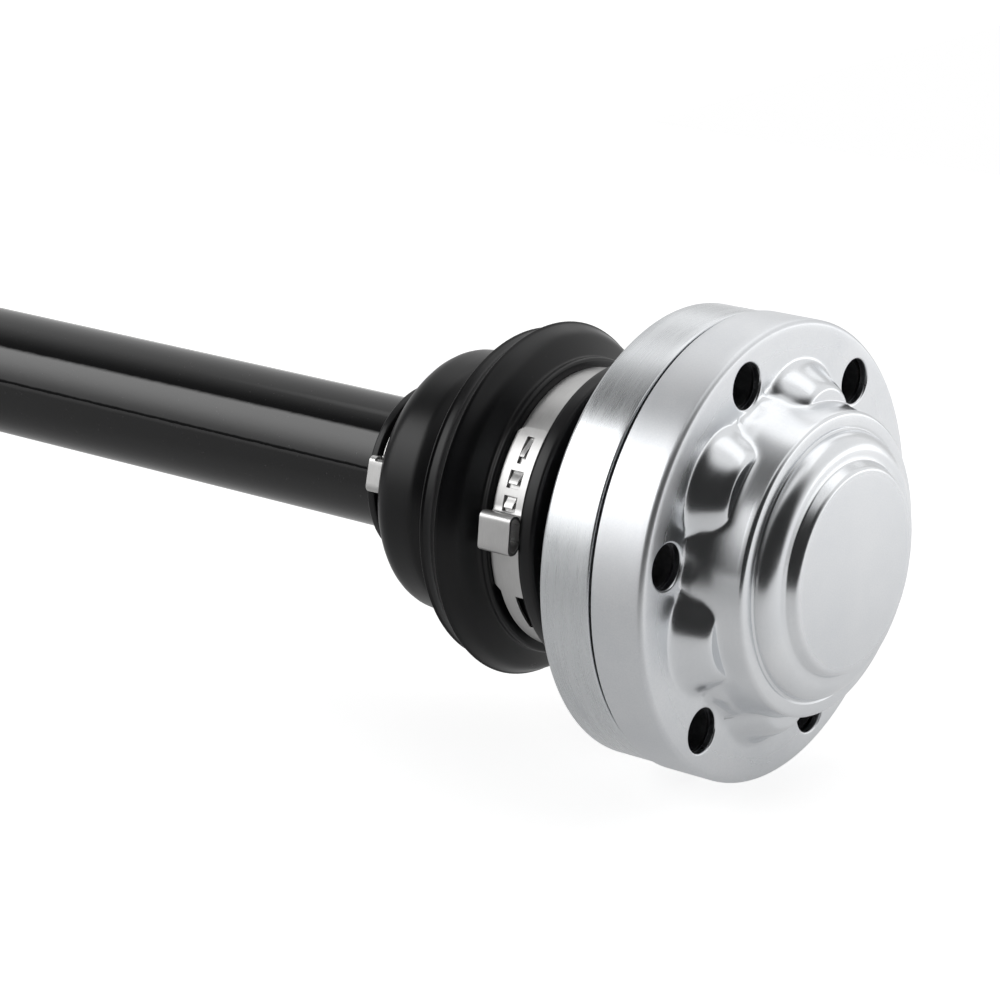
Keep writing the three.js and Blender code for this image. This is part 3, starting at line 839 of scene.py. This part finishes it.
def groove(radius, pitch_r, ball_r, degrees, phase, outward):
    """Radius of a surface where a ball track with a round section crosses it."""
    off = (degrees - phase + SECTOR / 2) % SECTOR - SECTOR / 2
    side = pitch_r * math.sin(math.radians(off))
    if abs(side) >= ball_r:
        return radius
    middle = pitch_r * math.cos(math.radians(off))
    reach = math.sqrt(ball_r ** 2 - side ** 2)
    return max(radius, middle + reach) if outward else min(radius, middle - reach)


def wheel_joint_housing():
    thread_start = STUB_END + 24
    outside = divided(rounded([
        (17, 36.2, 0), (17, 42.2, 0.5), (15.6, 43.4, 0.6), (12.2, 43.4, 0.5), (11.6, 42, 0.5), (3.2, 42, 0.6),
        (2.4, 44, 0.4), (-20, 44, 9), (-31, 37.6, 8), (-36.4, 27.4, 2.2), (-37.4, 26, 0.8),
        (SHOULDER, 26, 0.6), (SHOULDER, 17.4, 0.8), (-45.4, 17, 0.8), (-46.2, 14.8, 0.4),
    ]), 1.6)
    spline = divided([(SPLINE_START, 14.6), (SPLINE_END, 14.6)], 2.4)
    relief_neck = rounded([(-99.4, 12.6, 0), (-100.4, 11.1, 0.6), (-103, 11.1, 0.6), (-104, THREAD_R, 0)])
    thread = divided([(thread_start, THREAD_R), (STUB_END + 1.6, THREAD_R)], THREAD_PITCH / 6)
    end = rounded([
        (STUB_END + 1.4, 11.7, 0), (STUB_END, 10.4, 0.3), (STUB_END, 4.4, 0.4),
        (STUB_END + 3.6, 2.2, 0), (STUB_END + 3.6, 0, 0),
    ])
    room = [(-27.2, 0), (-26.8, 14)] + [
        (31.4 * math.cos(math.radians(a)), 31.4 * math.sin(math.radians(a))) for a in range(148, 72, -6)]
    room += [(12.6, 31.4), (16.4, 36.2)]

    def outer_radius(x, r, degrees):
        local = x - OUTER
        if SPLINE_END <= local <= SPLINE_START:
            ends = smooth((local - SPLINE_END) / 2.2)
            tooth = toothed(STUB_ROOT_R, STUB_TIP_R, STUB_TEETH, degrees)
            return STUB_ROOT_R + (tooth - STUB_ROOT_R) * ends
        if STUB_END + 1.5 <= local <= thread_start:
            turn = (local / THREAD_PITCH - degrees / 360) % 1
            return THREAD_R - THREAD_DEPTH * abs(2 * turn - 1)
        return r

    def room_radius(x, r, degrees):
        local = x - OUTER
        pitch_r = math.sqrt(max(OUTER_PITCH_R ** 2 - min(local, 0) ** 2, 0))
        return groove(r, pitch_r, 9.4, degrees, OUTER_PHASE, True) if local > -20 else r

    rings = []
    skin = outside + spline + relief_neck + thread + end
    for outline, radius_at in ((room, room_radius), (skin, outer_radius)):
        for local, r in outline:
            x = OUTER + local
            if r == 0:
                rings.append([Vector((x, 0, 0)) * MM])
                continue
            rings.append([polar(x, radius_at(x, r, i * 360 / HOUSING_SEGMENTS), i * 360 / HOUSING_SEGMENTS)
                          for i in range(HOUSING_SEGMENTS)])
    made = piece("wheel_joint_housing", skinned(rings, closed=False), FORGED, "outer_stub",
                 ["outer_joint_housing"])
    made.data.materials.append(TURNED)
    limit = (OUTER + SHOULDER + 0.1) * MM
    for face in made.data.polygons:
        face.material_index = int(face.center.x < limit)


def hub_nut():
    low, high = (corner.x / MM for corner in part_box("hub_nut"))
    flat = 17.5
    outline = divided(rounded([
        (high, 12.6, 0), (high, 22, 0.6), (high - 2.4, 22, 0.8), (high - 3.4, 20.4, 0.6), (low + 2, 20.3, 0),
        (low + 1.6, 20.3, 0), (low + 1.6, 14.6, 0.5), (low, 14.2, 0.4), (low, 12.6, 0.3),
        (low + 1.2, 12.4, 0),
    ]), 0.9)

    def radius_at(x, r, degrees):
        hexagon = flat / math.cos(math.radians((degrees + 30) % 60 - 30))
        chamfer = 18.2 + (x - low - 1.6) * 1.5
        if r < 14.8 or x > high - 3.5:
            return r
        return min(hexagon, chamfer, r)

    mesh = surface(outline, radius_at, segments=HOUSING_SEGMENTS, closed=True)
    return piece("flanged_hub_nut", mesh, TURNED, "outer_stub", ["hub_nut"])


wheel_joint_housing()
hub_nut()


# ---- balls, cages, races and the shaft's ends --------------------------------
def turned_ring(name, node, body, corners):
    """A small machined ring from its section."""
    mesh = surface(divided(rounded(corners), 2), segments=96, closed=True)
    return piece(name, mesh, TURNED, body, [node])


def ball(name, node, body, radius):
    low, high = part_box(node)
    centre = (low + high) / 2
    arc = [(-radius * math.cos(math.pi * i / 20), radius * math.sin(math.pi * i / 20)) for i in range(21)]
    mesh = surface(arc, segments=40)
    bmesh.ops.translate(mesh, verts=mesh.verts, vec=centre)
    return piece(name, mesh, TURNED, body, [node])


def ball_cage(name, node, body, centre, outer_r, inner_r, half_width, window, phase):
    """A spherical ring with a rounded window for each ball; window is (half width, half angle)."""
    inner, outer = [], []
    across = sorted({half_width * k / 6 for k in range(-6, 7)} | {-window[0], window[0]})
    around = [phase - SECTOR / 2 + i * 2 for i in range(180)]
    for degrees in around:
        outer.append([polar(centre + x, math.sqrt(outer_r ** 2 - x ** 2), degrees) for x in across])
        inner.append([polar(centre + x, math.sqrt(inner_r ** 2 - x ** 2), degrees) for x in across])

    def is_open(i, j):
        off = (around[i] + 1 - phase + SECTOR / 2) % SECTOR - SECTOR / 2
        return abs(off) < window[1] and abs((across[j] + across[j + 1]) / 2) < window[0]

    made = piece(name, slab(outer, inner, is_open, wrapped=True), TURNED, body, [node])
    return softened(made, 0.4)


def inner_star(name, node, centre, race_r, half_width, pitch_r, ball_r, phase, bent):
    """An inner race: a ball-like ring with six tracks and a splined bore."""
    arc = [(half_width * k / 8, math.sqrt(race_r ** 2 - (half_width * k / 8) ** 2)) for k in range(-8, 9)]
    outline = [(half_width + 0.01, 12.9)] + [(half_width, 18)] + arc[::-1] + [(-half_width, 18)]
    outline += [(-half_width - 0.01, 12.9)]

    def radius_at(x, r, degrees):
        local = x - centre
        if r < 13:
            return toothed(12.2, 13.0, SHAFT_TEETH, degrees)
        if r < 18.1:
            return r
        across = math.sqrt(pitch_r ** 2 - local ** 2) if bent else pitch_r
        return groove(r, across, ball_r, degrees, phase, False)

    mesh = surface([(centre + x, r) for x, r in divided(outline, 3)], radius_at, 216, closed=True)
    return piece(name, mesh, TURNED, "shaft", [node])


def flange_race():
    """The thick ring between the two pressings: six straight tracks and six bolt holes."""
    low, high = (corner.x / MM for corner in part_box("inner_joint_outer_race"))
    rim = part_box("inner_joint_outer_race")[1].y / MM
    outside = divided(rounded([(low, 42, 0), (low, rim, 2), (high, rim, 2), (high, 42, 0)]), 6)
    outline = outside + divided([(high, 33.3), (low, 33.3)], 6)

    def radius_at(x, r, degrees):
        return groove(r, INNER_PITCH_R, INNER_TRACK_R, degrees, TRACK_PHASE, True) if r < 34 else r

    mesh = surface(outline, radius_at, 216, closed=True)
    made = piece("flange_race", mesh, FORGED, "inner_flange", ["inner_joint_outer_race"])
    drill = bmesh.new()
    for i in range(BOLTS):
        rotation = Matrix.Rotation(math.pi / 2, 4, "Y")
        place = Matrix.Translation(polar((low + high) / 2, BOLT_CIRCLE_R, BOLT_PHASE + i * SECTOR))
        bmesh.ops.create_cone(drill, cap_ends=True, segments=48, radius1=RACE_DRILL_R * MM,
                              radius2=RACE_DRILL_R * MM, depth=60 * MM, matrix=place @ rotation)
    cut(made, placed("drill", data_of(drill, "drill")))


def journal(name, node, centre, weld, side):
    """A shaft's end: weld upset, taper, plain part, splined seat and snap-ring groove."""
    outline = divided(rounded([
        (weld, 0, 0), (weld, 17, 0.3), (weld + 6, 17, 3), (weld + 13, 13.2, 3), (-15.6, 13.2, 0.5),
        (-15.8, 11.7, 0.3),
    ]), 2.5)
    outline += divided([(-14.4, 12.2), (12, 12.2)], 2)
    outline += rounded([(12.2, 11.6, 0), (12.2, 11, 0), (14.4, 11, 0), (14.4, 12, 0.2), (16.6, 12, 0.3),
                        (17.6, 11, 0), (17.6, 0, 0)])

    def radius_at(x, r, degrees):
        local = (x - centre) * side
        return toothed(11.9, 12.7, SHAFT_TEETH, degrees) if -14.5 < local < 12.1 and r > 12.1 else r

    mesh = surface([(centre + side * x, r) for x, r in outline], radius_at, 192)
    return piece(name, mesh, FORGED, "shaft", [node])


body_of = {node: body for body, nodes in frame["record"]["behaviour"]["bodies"].items() for node in nodes}
for i in range(1, 7):
    node = f"inner_joint_ball_{i}"
    ball(f"inner_ball_{i}", node, body_of[node], INNER_BALL_R)
    node = f"outer_joint_ball_{i}"
    ball(f"outer_ball_{i}", node, body_of[node], OUTER_BALL_R)
ball_cage("inner_ball_cage", "inner_joint_cage", "inner_cage", INNER, 33, 28.4, 12, (9.8, 20), TRACK_PHASE)
ball_cage("outer_ball_cage", "outer_joint_cage", "outer_cage", OUTER, 31, 26.7, 12.5, (8.8, 19), OUTER_PHASE)
inner_star("inner_star", "inner_joint_inner_race", INNER, 28, 10, INNER_PITCH_R, 10.2, TRACK_PHASE, False)
inner_star("outer_star", "outer_joint_inner_race", OUTER, 26.3, 11, OUTER_PITCH_R, 9.8, OUTER_PHASE, True)
flange_race()
tube_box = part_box("shaft_tube")
journal("inner_journal", "shaft_inner_journal", INNER, tube_box[1].x / MM + 0.3 - INNER, 1)
journal("outer_journal", "shaft_outer_journal", OUTER, OUTER - tube_box[0].x / MM + 0.3, -1)
for name, node in (("inner_snap_ring", "inner_joint_snap_ring"),
                   ("outer_snap_ring", "outer_joint_snap_ring")):
    low, high = (corner.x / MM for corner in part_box(node))
    turned_ring(name, node, "shaft", [
        (low, 11.4, 0), (low, 14.5, 0.2), (high, 14.5, 0.2), (high, 11.4, 0.1), (low, 11.4, 0)][:-1])
turned_ring("dished_washer", "inner_joint_spring_washer", "shaft", [
    (INNER - 12.6, 13.3, 0), (INNER - 13.8, 17, 0.2), (INNER - 12.8, 17, 0.2), (INNER - 11.6, 13.3, 0)])
turned_ring("spacer", "outer_joint_spacer_ring", "shaft", [
    (OUTER + 11.8, 13.3, 0), (OUTER + 11.8, 16.6, 0.3), (OUTER + 14.6, 16.6, 0.3), (OUTER + 14.6, 13.3, 0)])


# ---- floor, light and camera -------------------------------------------------
def studio_floor():
    """A white table: it ends a little in front of the flange, and runs far back and to the left. To the
    camera it glows evenly white. To all other rays its glow is painted light: darker at the front left,
    brighter towards the back right, and a little brighter again far off to the left.
    """
    backdrop = Nodes("studio_floor")
    seen = backdrop.tree.nodes.new("ShaderNodeLightPath").outputs["Is Camera Ray"]
    split = backdrop.split()
    # Painted light on the floor, seen only in reflections: a glow that is darker at the front left, brighter
    # towards the back right, and a little brighter again far off to the left.
    across = backdrop.math("MULTIPLY_ADD", split[0], 0.62, backdrop.math("MULTIPLY", split[1], 0.78))
    near = backdrop.ranged(across, -0.05, 0.40, 0.12, 0.62)
    painted_floor_light = backdrop.math("MAXIMUM", near, backdrop.ranged(across, -1.0, -0.35, 0.42, 0.0))
    # To the camera the floor glows evenly white; every other ray sees the painted light.
    glow = backdrop.math("MAXIMUM", painted_floor_light, backdrop.math("MULTIPLY", seen, 0.80))
    backdrop.set(Roughness=0.9)
    backdrop.shader.inputs["Base Color"].default_value = (0.42, 0.42, 0.42, 1)
    backdrop.shader.inputs["Emission Color"].default_value = (1, 1, 1, 1)
    backdrop.link(glow, backdrop.shader.inputs["Emission Strength"])
    right = FACE * MM + 0.38
    edge = [(-5, -5), (FACE * MM - 0.32, -5), (FACE * MM - 0.02, -0.38), (FACE * MM + 0.05, -0.38),
            (right, -0.10), (right, 0.62), (-0.2, 0.62), (-0.2, 5), (-5, 5)]
    sheet = bmesh.new()
    sheet.faces.new([sheet.verts.new((x, y, 0)) for x, y in edge])
    data = data_of(sheet, "studio_floor")
    data.materials.append(backdrop.material)
    floor = placed("studio_floor", data)
    floor.location.z = FLOOR_Z - 0.0005


def softbox(name, place, aim, width, height, power):
    light = bpy.data.lights.new(name, "AREA")
    light.shape = "RECTANGLE"
    light.size = width
    light.size_y = height
    light.energy = power
    lamp = placed(name, light)
    lamp.location = place
    lamp.rotation_euler = (Vector(aim) - Vector(place)).to_track_quat("-Z", "Y").to_euler()


def camera():
    heading, drop = math.radians(38.121), math.radians(17.722)
    lens = bpy.data.cameras.new("camera")
    lens.lens = 124.22
    lens.sensor_width = 36
    lens.clip_end = 60
    made = placed("camera", lens)
    made.location = Vector((FACE * MM, 0, 0)) + Vector((0.42556, -0.64947, 0.26050))
    made.rotation_euler = (math.pi / 2 - drop, 0, heading)
    bpy.context.scene.camera = made


def studio_world():
    """Bright walls behind the object, a dark room behind the camera and overhead."""
    made = bpy.data.worlds.new("studio")
    bpy.context.scene.world = made
    made.use_nodes = True
    tree = made.node_tree
    background = tree.nodes["Background"]
    place = tree.nodes.new("ShaderNodeTexCoord").outputs["Generated"]
    split = tree.nodes.new("ShaderNodeSeparateXYZ")
    tree.links.new(place, split.inputs[0])

    def worked(operation, a, b, c=0.0):
        node = tree.nodes.new("ShaderNodeMath")
        node.operation = operation
        for socket, value in zip(node.inputs, (a, b, c)):
            if isinstance(value, (int, float)):
                socket.default_value = value
            else:
                tree.links.new(value, socket)
        return node.outputs[0]

    def faded(value, low, high, to_low, to_high):
        node = tree.nodes.new("ShaderNodeMapRange")
        node.interpolation_type = "SMOOTHSTEP"
        tree.links.new(value, node.inputs["Value"])
        for name, number in (("From Min", low), ("From Max", high), ("To Min", to_low), ("To Max", to_high)):
            node.inputs[name].default_value = number
        return node.outputs["Result"]

    x, y, z = split.outputs
    sunk = faded(z, 0.84, 0.97, 0.0, 1.0)
    beside = worked("MULTIPLY_ADD", x, 0.78, worked("MULTIPLY", y, -0.62))
    gap = faded(beside, 0.27, 0.60, 0.0, 0.97)
    lit = worked("MAXIMUM", faded(y, -0.25, 0.35, 0.12, 0.70), faded(x, -0.35, 0.25, 0.0, 0.95))
    shade = worked("MULTIPLY", gap, worked("SUBTRACT", 1.0, sunk))
    dimmed = worked("MULTIPLY", lit, worked("SUBTRACT", 1.0, shade))
    left = worked("MULTIPLY", faded(x, -0.52, -0.08, 1.0, 0.0), faded(y, -0.36, -0.26, 1.0, 0.0))
    low_edge = faded(z, 0.03, 0.07, 0.0, 1.0)
    high_edge = faded(z, 0.70, 0.77, 1.0, 0.0)
    panel = worked("MULTIPLY", worked("MULTIPLY", left, low_edge), high_edge)
    bright = worked("MULTIPLY", panel, faded(z, 0.05, 0.62, 1.0, 3.5))
    overhead = worked("MULTIPLY", faded(z, 0.62, 0.80, 0.0, 1.4), faded(y, 0.02, 0.3, 0.0, 1.0))
    above = worked("MULTIPLY", faded(z, -0.22, -0.12, 0.0, 1.0), faded(z, 0.05, 0.16, 1.0, 0.0))
    behind = worked("MULTIPLY", faded(x, 0.15, 0.4, 0.0, 1.0), faded(y, 0.5, 0.68, 0.0, 1.0))
    horizon = worked("MULTIPLY", worked("MULTIPLY", above, behind), 1.7)
    sky = worked("MAXIMUM", worked("MAXIMUM", dimmed, overhead), bright)
    room = worked("MAXIMUM", sky, horizon)
    seen = tree.nodes.new("ShaderNodeLightPath").outputs["Is Camera Ray"]
    kept = worked("MULTIPLY", room, worked("SUBTRACT", 1.0, seen))
    tree.links.new(worked("ADD", kept, seen), background.inputs["Strength"])
    background.inputs["Color"].default_value = (1, 1, 1, 1)


studio_floor()
softbox("softbox_back", (-0.2, 1.2, 0.9), (0, 0, 0), 1.0, 0.6, 1.0)
camera()
studio_world()
bpy.context.scene.view_settings.view_transform = "Standard"
